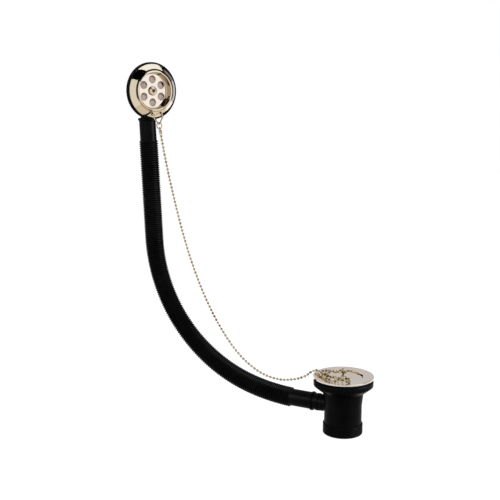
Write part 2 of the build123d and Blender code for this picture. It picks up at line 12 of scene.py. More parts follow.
import bmesh
import bpy
import numpy as np
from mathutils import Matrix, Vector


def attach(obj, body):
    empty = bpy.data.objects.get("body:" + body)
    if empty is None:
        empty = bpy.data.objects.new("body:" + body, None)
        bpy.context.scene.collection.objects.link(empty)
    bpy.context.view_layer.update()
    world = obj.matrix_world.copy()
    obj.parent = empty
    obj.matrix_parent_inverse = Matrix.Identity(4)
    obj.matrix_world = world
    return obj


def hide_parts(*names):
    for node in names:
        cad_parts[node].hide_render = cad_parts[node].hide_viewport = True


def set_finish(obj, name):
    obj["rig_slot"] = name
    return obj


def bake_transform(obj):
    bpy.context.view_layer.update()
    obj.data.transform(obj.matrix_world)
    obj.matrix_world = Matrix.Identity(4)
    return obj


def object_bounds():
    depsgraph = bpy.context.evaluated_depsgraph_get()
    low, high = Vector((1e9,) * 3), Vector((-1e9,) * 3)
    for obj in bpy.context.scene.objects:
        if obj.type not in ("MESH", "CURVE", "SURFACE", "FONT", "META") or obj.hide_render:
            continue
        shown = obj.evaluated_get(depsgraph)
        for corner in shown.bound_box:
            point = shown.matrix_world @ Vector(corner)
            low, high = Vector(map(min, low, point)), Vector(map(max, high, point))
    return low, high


MM = 0.001
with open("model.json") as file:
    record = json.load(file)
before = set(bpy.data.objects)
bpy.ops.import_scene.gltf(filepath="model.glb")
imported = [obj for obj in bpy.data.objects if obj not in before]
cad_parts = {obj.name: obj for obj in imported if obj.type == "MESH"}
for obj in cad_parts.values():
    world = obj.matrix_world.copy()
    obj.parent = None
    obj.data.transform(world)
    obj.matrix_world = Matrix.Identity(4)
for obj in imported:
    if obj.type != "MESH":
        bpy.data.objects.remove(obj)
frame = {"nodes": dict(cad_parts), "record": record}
nodes = frame["nodes"]
cad_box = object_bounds()
print("CAD nodes:", len(nodes), "box:", cad_box)

# %% [markdown]
# ## Camera
# A product photograph is taken from a little way off, so that the near waste is hardly larger than the far
# face. The camera could be set by eye, but the two round ends say more: how open each ellipse is tells how
# steeply it is seen, and that gives the eye's place and the dip. The focal length comes out in pixels, and
# the picture's width turns it into a lens.

# %% Camera
EYE = (766.7 * MM, -717.0 * MM, 337.0 * MM)
AZIMUTH = 53.03
DIP = 9.93
FOCAL_PIXELS = 909
PICTURE_PIXELS = 500
SENSOR = 36.0

camera = bpy.data.objects.new("camera", bpy.data.cameras.new("camera"))
camera.data.sensor_width = SENSOR
camera.data.lens = FOCAL_PIXELS / PICTURE_PIXELS * SENSOR
camera.location = EYE
camera.rotation_euler = (radians(90 - DIP), 0, radians(AZIMUTH))
bpy.context.scene.collection.objects.link(camera)
bpy.context.scene.camera = camera
print("lens:", round(camera.data.lens, 1), "mm")

# %% [markdown]
# ## Grids to meshes
# Almost every surface here is a sheet of two parameters: one goes round, the other goes along. One helper
# numbers the four corners of each cell of such a grid, and another puts points and cells into a mesh,
# closes its seams and turns its faces outwards. Edges sharper than a set angle stay crisp, and all the rest
# is shaded smooth.

# %% Grid helpers
SEAM = 1e-6
CRISP = radians(35)


def grid_cells(rows, columns, rows_close=False, columns_close=True):
    """Corner numbers of a grid's cells, with the last row or column joined to the first if asked."""
    row = np.arange(rows if rows_close else rows - 1)[:, None]
    column = np.arange(columns if columns_close else columns - 1)[None, :]
    below, right = (row + 1) % rows, (column + 1) % columns
    corners = [(row, column), (row, right), (below, right), (below, column)]
    numbers = np.broadcast_arrays(*(down * columns + across for down, across in corners))
    return np.stack(numbers, axis=-1).reshape(-1, 4)


def close_and_smooth(mesh):
    """Join the points that meet, turn the faces outwards, and keep only sharp edges crisp."""
    shape = bmesh.new()
    shape.from_mesh(mesh)
    bmesh.ops.remove_doubles(shape, verts=shape.verts, dist=SEAM)
    bmesh.ops.dissolve_degenerate(shape, edges=shape.edges, dist=SEAM)
    bmesh.ops.recalc_face_normals(shape, faces=shape.faces)
    shape.to_mesh(mesh)
    shape.free()
    mesh.shade_smooth()
    mesh.set_sharp_from_angle(angle=CRISP)
    return mesh


def sheet_mesh(name, points, cells):
    """One closed mesh from a grid of points and its cells."""
    mesh = bpy.data.meshes.new(name)
    mesh.from_pydata(points.reshape(-1, 3), [], cells)
    return close_and_smooth(mesh)


def add_piece(name, mesh, body="root"):
    """Put a finished mesh into the scene as a piece that moves with a body."""
    piece = bpy.data.objects.new(name, mesh)
    bpy.context.scene.collection.objects.link(piece)
    if body:
        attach(piece, body)
    print(name, "faces:", len(mesh.polygons))
    return piece


print("a tube of 3 rings with 4 corners each has", len(grid_cells(3, 4)), "cells")

# %% [markdown]
# ## Chain line
# A bead chain hangs like string. Its route is a few given points: a long sag from the face, a step
# over the flange's edge, then slack laid in folds on the plug. Straight steps from point to point would
# show every corner, so the points are the cage of a NURBS spline, which gives one smooth line.

# %% Chain line
CHAIN_ROUTE = np.array([
    (-207.6, -122.12, 283.6),
    (-204.2, -118.6, 254.0),
    (-197.6, -113.8, 217.0),
    (-188.5, -107.8, 173.0),
    (-175.8, -100.7, 127.0),
    (-159.7, -91.7, 83.0),
    (-140.0, -80.7, 43.0),
    (-118.2, -68.5, 11.5),
    (-93.8, -54.8, -8.0),
    (-71.6, -42.3, -13.8),
    (-54.6, -32.6, -11.0),
    (-42.8, -25.0, -6.0),
    (-34.4, -19.4, 3.0),
    (-25.8, -17.4, 5.8),
    (-17.3, -23.8, 4.1),
    (-6.5, -26.1, 4.1),
    (3.1, -29.1, 4.1),
    (12.7, -29.1, 4.1),
    (20.8, -24.9, 4.1),
    (25.0, -18.2, 4.1),
    (22.8, -9.4, 4.6),
    (12.6, -6.8, 2.9),
    (5.2, -11.7, 2.1),
    (-0.7, -16.2, 2.1),
    (-7.2, -18.6, 3.4),
    (-15.0, -19.8, 4.4),
    (-21.4, -16.7, 4.2),
    (-23.6, -11.4, 4.2),
    (-21.8, -5.9, 4.1),
    (-16.9, -2.9, 3.2),
    (-13.32, -2.35, 3.78),
]) * MM
SPLINE_ORDER = 3
SPLINE_STEPS = 24


def spline_points(route):
    """Points along the smooth NURBS line that a route's points pull into shape."""
    curve = bpy.data.curves.new("chain_line", "CURVE")
    curve.dimensions = "3D"
    spline = curve.splines.new("NURBS")
    spline.points.add(len(route) - 1)
    spline.points.foreach_set("co", np.c_[route, np.ones(len(route))].ravel())
    spline.order_u = SPLINE_ORDER
    spline.use_endpoint_u = True
    spline.resolution_u = SPLINE_STEPS
    holder = bpy.data.objects.new("chain_line", curve)
    line = bpy.data.meshes.new_from_object(holder)
    points = np.empty(len(line.vertices) * 3)
    line.vertices.foreach_get("co", points)
    bpy.data.objects.remove(holder)
    bpy.data.curves.remove(curve)
    bpy.data.meshes.remove(line)
    return points.reshape(-1, 3)


chain_line = spline_points(CHAIN_ROUTE)
chain_length = np.linalg.norm(np.diff(chain_line, axis=0), axis=1).sum()
print("chain length:", round(chain_length / MM, 1), "mm")

# %% [markdown]
# ## Beads
# The chain is hollow balls pinched round short wire pins. Balls could be copied along the line as objects
# of their own, but there are more than a hundred of them. So each ball with its half pins is one small
# turned profile, and all of them are worked out as one array at an even pitch along the line. A fold of
# the line never pinches a ball that way.

# %% Beads on the line
BEAD_R = 1.65 * MM
BEAD_PITCH = 4.6 * MM
PIN_R = 0.38 * MM
BEAD_ROWS = 7
BEAD_COLUMNS = 12
STEEP = 0.9


def along(line, distance):
    """Places on a line of points at given distances from its start."""
    reach = np.r_[0, np.cumsum(np.linalg.norm(np.diff(line, axis=0), axis=1))]
    return np.stack([np.interp(distance, reach, line[:, axis]) for axis in range(3)], axis=-1)


def cross_frames(direction):
    """Two unit vectors across each direction: one level unless it is steep, and one at right angles to it."""
    steep = np.abs(direction[..., 2:]) > STEEP
    helper = np.where(steep, (1.0, 0.0, 0.0), (0.0, 0.0, 1.0))
    side = np.cross(direction, helper)
    side /= np.linalg.norm(side, axis=-1, keepdims=True)
    return side, np.cross(direction, side)


def turned_sheet(centres, direction, side, up, profile, columns):
    """Carry a profile of (distance along, radius) round each axis: centre + along * axis + radius * turn."""
    turn = np.linspace(0, 2 * pi, columns, endpoint=False)
    spin = side[:, None, None] * np.cos(turn)[:, None] + up[:, None, None] * np.sin(turn)[:, None]
    axis = centres[:, None, None] + direction[:, None, None] * profile[None, :, None, :1]
    return axis + spin * profile[None, :, None, 1:]


bead_count = int(chain_length / BEAD_PITCH)
bead_pitch = chain_length / bead_count
bead_places = (np.arange(bead_count) + 0.5) * bead_pitch
bead_centres = along(chain_line, bead_places)
bead_axes = along(chain_line, bead_places + PIN_R) - along(chain_line, bead_places - PIN_R)
bead_axes /= np.linalg.norm(bead_axes, axis=1, keepdims=True)
bead_polar = np.linspace(-1, 1, BEAD_ROWS) * np.arccos(PIN_R / BEAD_R)
bead_profile = np.r_[
    [(-bead_pitch / 2, 0), (-bead_pitch / 2, PIN_R)],
    np.c_[np.sin(bead_polar), np.cos(bead_polar)] * BEAD_R,
    [(bead_pitch / 2, PIN_R), (bead_pitch / 2, 0)],
]
bead_points = turned_sheet(bead_centres, bead_axes, *cross_frames(bead_axes), bead_profile, BEAD_COLUMNS)
bead_cells = grid_cells(len(bead_profile), BEAD_COLUMNS)
bead_starts = np.arange(bead_count) * len(bead_profile) * BEAD_COLUMNS
chain_cells = (bead_starts[:, None, None] + bead_cells[None]).reshape(-1, 4)
chain = add_piece("chain_beads", sheet_mesh("chain_beads", bead_points, chain_cells), body=None)
print("beads:", bead_count, "at", round(bead_pitch / MM, 2), "mm")

# %% [markdown]
# ## Hose line
# The hose leaves the overflow's tail nearly straight down, takes a long bend and an easier one, and runs
# straight into the waste. It could be a curve drawn by hand, but it has to end exactly at two spigots. So
# it is two arcs between two straight runs, in the plane of both ends, and the ends say how long the runs
# are.

# %% Hose line
FACE_CENTRE = np.array([-218.7, -126.3, 337.0]) * MM
TAIL_SET_BACK = 16.9 * MM
TAIL_TURN = radians(2.7)
INLET_CENTRE = np.array([0, 0, -36.0]) * MM
INLET_STOP = 37.8 * MM
CUFF_START = 33.4 * MM
BEND_R = 187.0 * MM
BEND = radians(74)
EASE_R = 251.0 * MM


def unit(vector):
    """A vector's direction: the vector over its length."""
    return vector / np.linalg.norm(vector)


tail_centre = FACE_CENTRE - (TAIL_SET_BACK, 0, 0)
tail_dir = np.array([0, sin(TAIL_TURN), -cos(TAIL_TURN)])
hose_normal = unit(np.cross(tail_dir, INLET_CENTRE - tail_centre))
inlet_dir = unit(np.cross((0, 0, 1), hose_normal))
sideways = np.cross(hose_normal, tail_dir)
hose_turn = np.arctan2(inlet_dir @ sideways, inlet_dir @ tail_dir)
hose_start = tail_centre + tail_dir * CUFF_START
hose_span = INLET_CENTRE - inlet_dir * INLET_STOP - hose_start
bend_fall = BEND_R * sin(BEND) + EASE_R * (sin(hose_turn) - sin(BEND))
bend_side = BEND_R * (1 - cos(BEND)) + EASE_R * (cos(BEND) - cos(hose_turn))
last_run = (hose_span @ sideways - bend_side) / sin(hose_turn)
first_run = hose_span @ tail_dir - bend_fall - last_run * cos(hose_turn)
hose_lengths = np.array([first_run, BEND_R * BEND, EASE_R * (hose_turn - BEND), last_run])
hose_length = hose_lengths.sum()


def hose_frame(distance):
    """Centre and the vector across in the bend's plane: a run, two arcs and a run, each used up in turn."""
    starts = np.r_[0, np.cumsum(hose_lengths)[:-1]]
    run_in, bent, eased, run_out = np.clip(distance - starts[:, None], 0, hose_lengths[:, None])
    first, second = bent / BEND_R, BEND + eased / EASE_R
    fall = run_in + BEND_R * np.sin(first) + EASE_R * (np.sin(second) - sin(BEND)) + run_out * cos(hose_turn)
    out = BEND_R * (1 - np.cos(first)) + EASE_R * (cos(BEND) - np.cos(second)) + run_out * sin(hose_turn)
    heading = (first + second - BEND)[:, None]
    centre = hose_start + fall[:, None] * tail_dir + out[:, None] * sideways
    return centre, np.cos(heading) * sideways - np.sin(heading) * tail_dir


print("hose length:", round(hose_length / MM, 1), "mm")

# %% [markdown]
# ## Hose wall
# The hose is blown plastic: a thin wall thrown into close rings so that it bends without kinking, with a
# plain cuff at each end that pushes on a spigot. It could be a modelled ring repeated along a curve, but a
# tube whose radius rises and falls along its length is simpler and stays one closed wall.

# %% Hose wall
BORE_R = 8.3 * MM
RIB_R = 12.0 * MM
VALLEY_R = 10.4 * MM
RIB_PITCH = 2.8 * MM
CREST_POWER = 1.2
CUFF_R = 10.4 * MM
RIM_R = 11.6 * MM
RIM_WIDTH = 3.4 * MM
RIM_POWER = 3
UPPER_CUFF = 28.5 * MM
LOWER_CUFF = 30.5 * MM
RIB_STEPS = 8
RIM_STEPS = 12
HOSE_COLUMNS = 40

ribbed = hose_length - UPPER_CUFF - LOWER_CUFF
rib_count = round(ribbed / RIB_PITCH)


def hose_radius(distance):
    """Cuff radius, raised to a rounded rim at each end, and to crests with valleys between the two cuffs."""
    phase = np.clip((distance - UPPER_CUFF) / ribbed, 0, 1) * rib_count
    ribs = VALLEY_R + (RIB_R - VALLEY_R) * np.abs(np.sin(pi * phase)) ** CREST_POWER
    inside = (distance > UPPER_CUFF) & (distance < hose_length - LOWER_CUFF)
    end = np.minimum(distance, hose_length - distance)
    swell = np.clip(np.abs(end - RIM_WIDTH / 2) / (RIM_WIDTH / 2), 0, 1)
    rim = CUFF_R + (RIM_R - CUFF_R) * np.sqrt(1 - swell ** RIM_POWER)
    return np.where(inside, ribs, rim)


rim_places = np.linspace(0, RIM_WIDTH, RIM_STEPS)
rib_places = np.linspace(UPPER_CUFF, hose_length - LOWER_CUFF, rib_count * RIB_STEPS + 1)
outer = np.r_[rim_places, rib_places, hose_length - rim_places[::-1]]
inner = np.linspace(hose_length, 0, rib_count // 2)
hose_places = np.r_[outer, inner]
hose_radii = np.r_[hose_radius(outer), np.full(len(inner), BORE_R)]
hose_centres, hose_across = hose_frame(hose_places)
turn = np.linspace(0, 2 * pi, HOSE_COLUMNS, endpoint=False)[None, :, None]
hose_points = hose_centres[:, None] + hose_radii[:, None, None] * (
    np.cos(turn) * hose_across[:, None] + np.sin(turn) * hose_normal)
hose_cells = grid_cells(len(hose_places), HOSE_COLUMNS, rows_close=True)
hose = add_piece("hose_wall", sheet_mesh("hose_wall", hose_points, hose_cells))
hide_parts("overflow_hose")
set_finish(hose, "hose_black")
print("ribs:", rib_count)

# %% [markdown]
# ## Outlet thread
# The foot of the waste carries the pipe thread that a trap's nut runs on. A tooth could be carried round a
# screw line, but one sheet does it too: its radius follows a wave whose phase grows with height and falls
# with the turn, so the groove climbs one pitch a turn. It fades out at both ends.

# %% Thread sheet
THREAD_R = 23.9 * MM
THREAD_DEPTH = 0.8 * MM
THREAD_PITCH = 2.309 * MM
THREAD_TOP = -56.9 * MM
THREAD_FOOT = -67.4 * MM
THREAD_FADE = 1.2 * MM
GROOVE_LEVEL = 0.1
GROOVE_SWING = 0.9
THREAD_COLUMNS = 120
THREAD_ROWS = 96


def thread_points():
    """Radius = crest - depth * groove, the groove being a clipped wave of height over pitch less turn."""
    height = np.linspace(THREAD_TOP, THREAD_FOOT, THREAD_ROWS)[:, None]
    angle = np.linspace(0, 2 * pi, THREAD_COLUMNS, endpoint=False)[None, :]
    wave = np.cos(2 * pi * height / THREAD_PITCH - angle)
    groove = np.clip(GROOVE_LEVEL + GROOVE_SWING * wave, 0, 1)
    fade = np.clip(np.minimum(THREAD_TOP - height, height - THREAD_FOOT) / THREAD_FADE, 0, 1)
    radius = THREAD_R - THREAD_DEPTH * groove * fade
    return np.stack([radius * np.cos(angle), radius * np.sin(angle), height + 0 * angle], axis=-1)


thread_mesh = sheet_mesh("outlet_thread", thread_points(), grid_cells(THREAD_ROWS, THREAD_COLUMNS))
print("turns of thread:", round((THREAD_TOP - THREAD_FOOT) / THREAD_PITCH, 1))

# %% [markdown]
# ## Threaded body
# The solid has a plain band where the thread goes, as wide as the crests. A copy of the solid loses the
# faces of that band and gets the sheet in their place. A Boolean would leave slivers in the smooth walls
# beside the band, so the corners of both meshes are put together instead, and every corner keeps its
# shading normal.

# %% Threaded body
BAND_SLACK = 0.05 * MM


def corners_of(mesh):
    """Places and shading normals of every face's corners, for a mesh whose faces all have as many corners."""
    sides = len(mesh.polygons[0].vertices)
    number = np.empty(len(mesh.loops), dtype=int)
    places, normals = np.empty(3 * len(mesh.vertices)), np.empty(3 * len(mesh.loops))
    mesh.loops.foreach_get("vertex_index", number)
    mesh.vertices.foreach_get("co", places)
    mesh.corner_normals.foreach_get("vector", normals)
    return places.reshape(-1, 3)[number].reshape(-1, sides, 3), normals.reshape(-1, sides, 3)


def without_band(places, normals):
    """The corners of a body without the faces whose corners all lie on its plain band."""
    middle, half = (THREAD_TOP + THREAD_FOOT) / 2, (THREAD_TOP - THREAD_FOOT) / 2
    off_band = np.abs(np.hypot(places[..., 0], places[..., 1]) - THREAD_R) > BAND_SLACK
    off_band |= np.abs(places[..., 2] - middle) > half + BAND_SLACK
    kept = off_band.any(axis=1)
    print("faces of the plain band:", np.count_nonzero(~kept))
    return places[kept], normals[kept]


def joined(name, sheets):
    """One mesh from sheets of corners, with points that meet made one and every corner's normal kept."""
    corners = np.concatenate([places.reshape(-1, 3) for places, _ in sheets])
    points, number = np.unique(np.round(corners / SEAM), axis=0, return_inverse=True)
    stops = np.cumsum([places[..., 0].size for places, _ in sheets])[:-1]
    parts = zip(np.split(number.ravel(), stops), sheets)
    faces = [part.reshape(places.shape[:2]) for part, (places, _) in parts]
    mesh = bpy.data.meshes.new(name)
    mesh.from_pydata(points * SEAM, [], [face for part in faces for face in part.tolist()])
    mesh.shade_smooth()
    mesh.normals_split_custom_set(np.concatenate([normals.reshape(-1, 3) for _, normals in sheets]))
    return mesh


body_sheets = [without_band(*corners_of(nodes["waste_body"].data)), corners_of(thread_mesh)]
waste_body = add_piece("waste_body_threaded", joined("waste_body_threaded", body_sheets))
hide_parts("waste_body")
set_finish(waste_body, "black_moulding")

# %% [markdown]
# ## Handled metal
# Wiping and handling leave a plated surface with clouds of faint haze and with hair lines. A painted
# picture could show that, but noise needs no unwrapping and shows no seam. It reads the object's own
# coordinates, so it sits still on the piece from every side. Every metal here needs the effect, so it is a
# node group, built once and placed in each material with values of its own.

# %% Handling group
HAIR_SCALE = 900.0
HAIR_STRETCH = (1.0, 0.06, 0.4)
HAIR_LEAN = (0.3, 0.5, 0.8)
HAIR_DETAIL = 2
CLOUD_DETAIL = 4
TONE_SPAN = (0.35, 0.65)
CLOUD_HAZE = (0.3, 0.7, 0.4, 1.0)
HAIR_HAZE = (0.45, 0.7, 0.3, 1.0)
HAZE_SPAN = (0.1, 1.0)


def feed(tree, socket, value):
    """Link a socket to another socket, or set it to a plain number or tint."""
    if isinstance(value, bpy.types.NodeSocket):
        tree.links.new(value, socket)
    elif isinstance(value, tuple):
        socket.default_value = (*value, 1)
    else:
        socket.default_value = value


def node_group(name, inputs, outputs):
    """An empty shader group with named sockets: inputs as (name, value), outputs as names."""
    group = bpy.data.node_groups.new(name, "ShaderNodeTree")
    for socket, value in inputs:
        made = group.interface.new_socket(name=socket, in_out="INPUT", socket_type="NodeSocketFloat")
        made.default_value = value
    for socket in outputs:
        group.interface.new_socket(name=socket, in_out="OUTPUT", socket_type="NodeSocketFloat")
    return group, group.nodes.new("NodeGroupInput"), group.nodes.new("NodeGroupOutput")


def noise(tree, coordinates, scale, detail, stretch=None):
    """A noise value on object coordinates, leaned and drawn out into lines if a stretch is given."""
    vector = coordinates.outputs["Object"]
    if stretch:
        mapping = tree.nodes.new("ShaderNodeMapping")
        mapping.inputs["Scale"].default_value = stretch
        mapping.inputs["Rotation"].default_value = HAIR_LEAN
        tree.links.new(vector, mapping.inputs["Vector"])
        vector = mapping.outputs["Vector"]
    texture = tree.nodes.new("ShaderNodeTexNoise")
    texture.inputs["Detail"].default_value = detail
    tree.links.new(vector, texture.inputs["Vector"])
    feed(tree, texture.inputs["Scale"], scale)
    return texture.outputs["Fac"]


def remap(tree, value, low, high, new_low=0.0, new_high=1.0):
    """A value moved from one range to another and held there. Bounds are numbers or sockets."""
    node = tree.nodes.new("ShaderNodeMapRange")
    tree.links.new(value, node.inputs["Value"])
    for name, bound in (("From Min", low), ("From Max", high), ("To Min", new_low), ("To Max", new_high)):
        feed(tree, node.inputs[name], bound)
    return node.outputs["Result"]


def handling_group():
    """Tone is slow clouds. Haze is a roughness between two bounds, from the clouds times the hair lines."""
    inputs = [("Scale", 60.0), ("Low", 0.05), ("High", 0.12)]
    tree, inlet, outlet = node_group("handling", inputs, ["Tone", "Haze"])
    coordinates = tree.nodes.new("ShaderNodeTexCoord")
    clouds = noise(tree, coordinates, inlet.outputs["Scale"], CLOUD_DETAIL)
    lines = noise(tree, coordinates, HAIR_SCALE, HAIR_DETAIL, HAIR_STRETCH)
    tree.links.new(remap(tree, clouds, *TONE_SPAN), outlet.inputs["Tone"])
    both = tree.nodes.new("ShaderNodeMath")
    both.operation = "MULTIPLY"
    tree.links.new(remap(tree, clouds, *CLOUD_HAZE), both.inputs[0])
    tree.links.new(remap(tree, lines, *HAIR_HAZE), both.inputs[1])
    haze = remap(tree, both.outputs["Value"], *HAZE_SPAN, inlet.outputs["Low"], inlet.outputs["High"])
    tree.links.new(haze, outlet.inputs["Haze"])
    return tree


handling = handling_group()
print("node group:", handling.name, "nodes:", len(handling.nodes))

# %% [markdown]
# ## Moulded plastic
# A mould leaves plastic and rubber with a fine grain and a slightly uneven tone and sheen. The grain is far
# too fine to model, so it is a height for a bump node. Four materials share it, so it is a node group as
# well.

# %% Moulding group
MOTTLE_SCALE = 45.0
MOTTLE_DETAIL = 3
MOTTLE_SPAN = (0.3, 0.7)
GRAIN_DETAIL = 2


def mould_group():
    """Grain is a fine height, Tone slow clouds, and Sheen a roughness between two bounds."""
    inputs = [("Grain scale", 1800.0), ("Low", 0.35), ("High", 0.5)]
    tree, inlet, outlet = node_group("moulding", inputs, ["Tone", "Sheen", "Grain"])
    coordinates = tree.nodes.new("ShaderNodeTexCoord")
    clouds = noise(tree, coordinates, MOTTLE_SCALE, MOTTLE_DETAIL)
    sheen = remap(tree, clouds, *MOTTLE_SPAN, inlet.outputs["Low"], inlet.outputs["High"])
    grain = noise(tree, coordinates, inlet.outputs["Grain scale"], GRAIN_DETAIL)
    tree.links.new(remap(tree, clouds, *MOTTLE_SPAN), outlet.inputs["Tone"])
    tree.links.new(sheen, outlet.inputs["Sheen"])
    tree.links.new(grain, outlet.inputs["Grain"])
    return tree


moulding = mould_group()
print("node group:", moulding.name, "nodes:", len(moulding.nodes))

# %% [markdown]
# ## Painted shade on the face
# Shade and dark reflections are painted into the face's colour: in the screw's socket and round its
# outline, on the wall of the dish and in the crease behind its rim. All of these are rings round the face's
# axis, so one colour ramp of the distance from that axis gives them all. Low down, the painted wall is
# darker and the painted crease paler, so a second ramp takes over there by height.

# %% Painted shade group
# These shades are painted light: shade in the screw's socket, round its outline and in the crease behind the
# rim, and a darker reflection on the dish's wall, darker still low down, where the crease is painted paler.
BRIGHT = (1.0, 1.0, 1.0)
SOCKET_SHADE = (0.16, 0.12, 0.09)
OUTLINE_SHADE = (0.42, 0.32, 0.20)
WALL_SHADE = (0.54, 0.49, 0.42)
LOW_WALL_SHADE = (0.20, 0.14, 0.09)
CREASE_SHADE = (0.03, 0.025, 0.02)
LOW_CREASE_SHADE = (0.70, 0.64, 0.55)
PAINTED_SHADE_REACH = 30.0 * MM
LOW_START = -8.0 * MM
LOW_FULL = -13.0 * MM
SOCKET_END = 1.8 * MM
SOCKET_FADE = 0.5 * MM

# A ring is where its shade starts and ends, and how far it fades before and after.
OUTLINE_RING = np.array([5.1, 5.6, 0.4, 0.4]) * MM
WALL_RING = np.array([21.1, 22.3, 0.4, 0.6]) * MM
CREASE_RING = np.array([24.8, 26.5, 0.2, 0.4]) * MM
LOW_CREASE_RING = np.array([24.8, 25.8, 0.2, 0.4]) * MM
UPPER_RINGS = [(OUTLINE_RING, OUTLINE_SHADE), (WALL_RING, WALL_SHADE), (CREASE_RING, CREASE_SHADE)]
LOWER_RINGS = [(OUTLINE_RING, OUTLINE_SHADE), (WALL_RING, LOW_WALL_SHADE),
               (LOW_CREASE_RING, LOW_CREASE_SHADE)]


def painted_shade_ramp(tree, distance, rings):
    """Painted shade by the distance from the face's axis: a dark socket, then ring after ring on bright
    metal.
    """
    shades = [(SOCKET_END, SOCKET_SHADE), (SOCKET_END + SOCKET_FADE, BRIGHT)]
    for (start, end, before, after), shade in rings:
        shades += [(start - before, BRIGHT), (start, shade), (end, shade), (end + after, BRIGHT)]
    ramp = tree.nodes.new("ShaderNodeValToRGB")
    stops = ramp.color_ramp.elements
    for radius, shade in shades:
        stops.new(radius / PAINTED_SHADE_REACH).color = (*shade, 1)
    stops[0].color, stops[-1].color = (*SOCKET_SHADE, 1), (*BRIGHT, 1)
    tree.links.new(remap(tree, distance, 0.0, PAINTED_SHADE_REACH), ramp.inputs["Fac"])
    return ramp.outputs["Color"]


def mixed(tree, factor, first, second, how="MIX"):
    """Two colours mixed by a factor. A colour is a socket or a tint, the factor a socket or a number."""
    mix = tree.nodes.new("ShaderNodeMix")
    mix.data_type, mix.blend_type = "RGBA", how
    feed(tree, mix.inputs["Factor"], factor)
    for socket, colour in zip((socket for socket in mix.inputs if socket.type == "RGBA"), (first, second)):
        feed(tree, socket, colour)
    return next(socket for socket in mix.outputs if socket.type == "RGBA")


def painted_shade_group():
    """Colour is the painted shade at the distance from the face's axis, whose square is y squared plus z
    squared.
    """
    tree = bpy.data.node_groups.new("painted_shade", "ShaderNodeTree")
    tree.interface.new_socket(name="Colour", in_out="OUTPUT", socket_type="NodeSocketColor")
    outlet = tree.nodes.new("NodeGroupOutput")
    coordinates = tree.nodes.new("ShaderNodeTexCoord")
    offset = tree.nodes.new("ShaderNodeVectorMath")
    offset.operation = "SUBTRACT"
    offset.inputs[1].default_value = FACE_CENTRE
    tree.links.new(coordinates.outputs["Object"], offset.inputs[0])
    apart = tree.nodes.new("ShaderNodeSeparateXYZ")
    tree.links.new(offset.outputs["Vector"], apart.inputs["Vector"])
    flat = tree.nodes.new("ShaderNodeCombineXYZ")
    for axis in "YZ":
        tree.links.new(apart.outputs[axis], flat.inputs[axis])
    distance = tree.nodes.new("ShaderNodeVectorMath")
    distance.operation = "LENGTH"
    tree.links.new(flat.outputs["Vector"], distance.inputs[0])
    upper = painted_shade_ramp(tree, distance.outputs["Value"], UPPER_RINGS)
    lower = painted_shade_ramp(tree, distance.outputs["Value"], LOWER_RINGS)
    low = remap(tree, apart.outputs["Z"], LOW_START, LOW_FULL)
    tree.links.new(mixed(tree, low, upper, lower), outlet.inputs["Colour"])
    return tree


painted_shade = painted_shade_group()
print("node group:", painted_shade.name, "nodes:", len(painted_shade.nodes))

# %% [markdown]
# ## Metals
# The face, flange and plug are brass under a warm nickel plate, and the chain's thin plate lets more of the
# brass through. A metal's colour is what it reflects, so its tone varies only a little and the roughness
# carries the handling. The face's screw has the same plate with a satin surface.

# %% Metals
NICKELS = [(0.90, 0.81, 0.68), (0.93, 0.85, 0.73)]
CHAIN_TINTS = [(0.48, 0.385, 0.27), (0.84, 0.72, 0.535)]
BRASSES = [(0.66, 0.47, 0.20), (0.74, 0.56, 0.29)]
STEELS = [(0.52, 0.51, 0.50), (0.62, 0.61, 0.60)]
HAND_SCALE = 60.0
CHAIN_SCALE = 260.0


def new_material(name, group, values):
    """A material with its principled shader and one placed finish group, whose inputs are set."""
    material = bpy.data.materials.new(name)
    material.use_nodes = True
    tree = material.node_tree
    placed = tree.nodes.new("ShaderNodeGroup")
    placed.node_tree = group
    for socket, value in values.items():
        placed.inputs[socket].default_value = value
    return material, tree, placed, tree.nodes["Principled BSDF"]


def metal(name, colours, low, high, scale=HAND_SCALE):
    """A plated or bare metal: two close tints, and a roughness from the handling group."""
    values = {"Scale": scale, "Low": low, "High": high}
    material, tree, placed, shader = new_material(name, handling, values)
    shader.inputs["Metallic"].default_value = 1.0
    tree.links.new(mixed(tree, placed.outputs["Tone"], *colours), shader.inputs["Base Color"])
    tree.links.new(placed.outputs["Haze"], shader.inputs["Roughness"])
    return material


satin_nickel = metal("satin_nickel", NICKELS, low=0.32, high=0.42)
finishes = {
    "polished_nickel": metal("polished_nickel", NICKELS, low=0.04, high=0.09),
    "chain_metal": metal("chain_metal", CHAIN_TINTS, low=0.08, high=0.18, scale=CHAIN_SCALE),
    "plain_brass": metal("plain_brass", BRASSES, low=0.22, high=0.4),
    "screw_steel": metal("screw_steel", STEELS, low=0.2, high=0.35),
}
print("metals:", satin_nickel.name, *finishes)

# %% [markdown]
# ## Painted light on the metals
# Two layers of painted light go over the plain metals. The nickel's colour is multiplied by the painted
# shade of the face, which is white everywhere else. Where the chain's slack lies on the plug, its clouds
# are given stronger tints there: a painted shade and a painted highlight, dark links beside bright ones.
# Both could be materials of their own, but then the change would show as a line.

# %% Painted light
SLACK_START = -60.0 * MM
SLACK_FULL = -38.0 * MM
PATCH_SPAN = (0.3, 0.7)
# The dark link colour below is painted shade, and the bright one a painted highlight.
PAINTED_SHADE_LINK = (0.13, 0.085, 0.04)
PAINTED_HIGHLIGHT_LINK = (1.0, 0.90, 0.68)


def painted_shade_over(material):
    """Multiply a metal's base colour by the painted shade of the face."""
    tree = material.node_tree
    colour = tree.nodes["Principled BSDF"].inputs["Base Color"]
    placed = tree.nodes.new("ShaderNodeGroup")
    placed.node_tree = painted_shade
    plain = colour.links[0].from_socket
    tree.links.new(mixed(tree, 1.0, plain, placed.outputs["Colour"], "MULTIPLY"), colour)


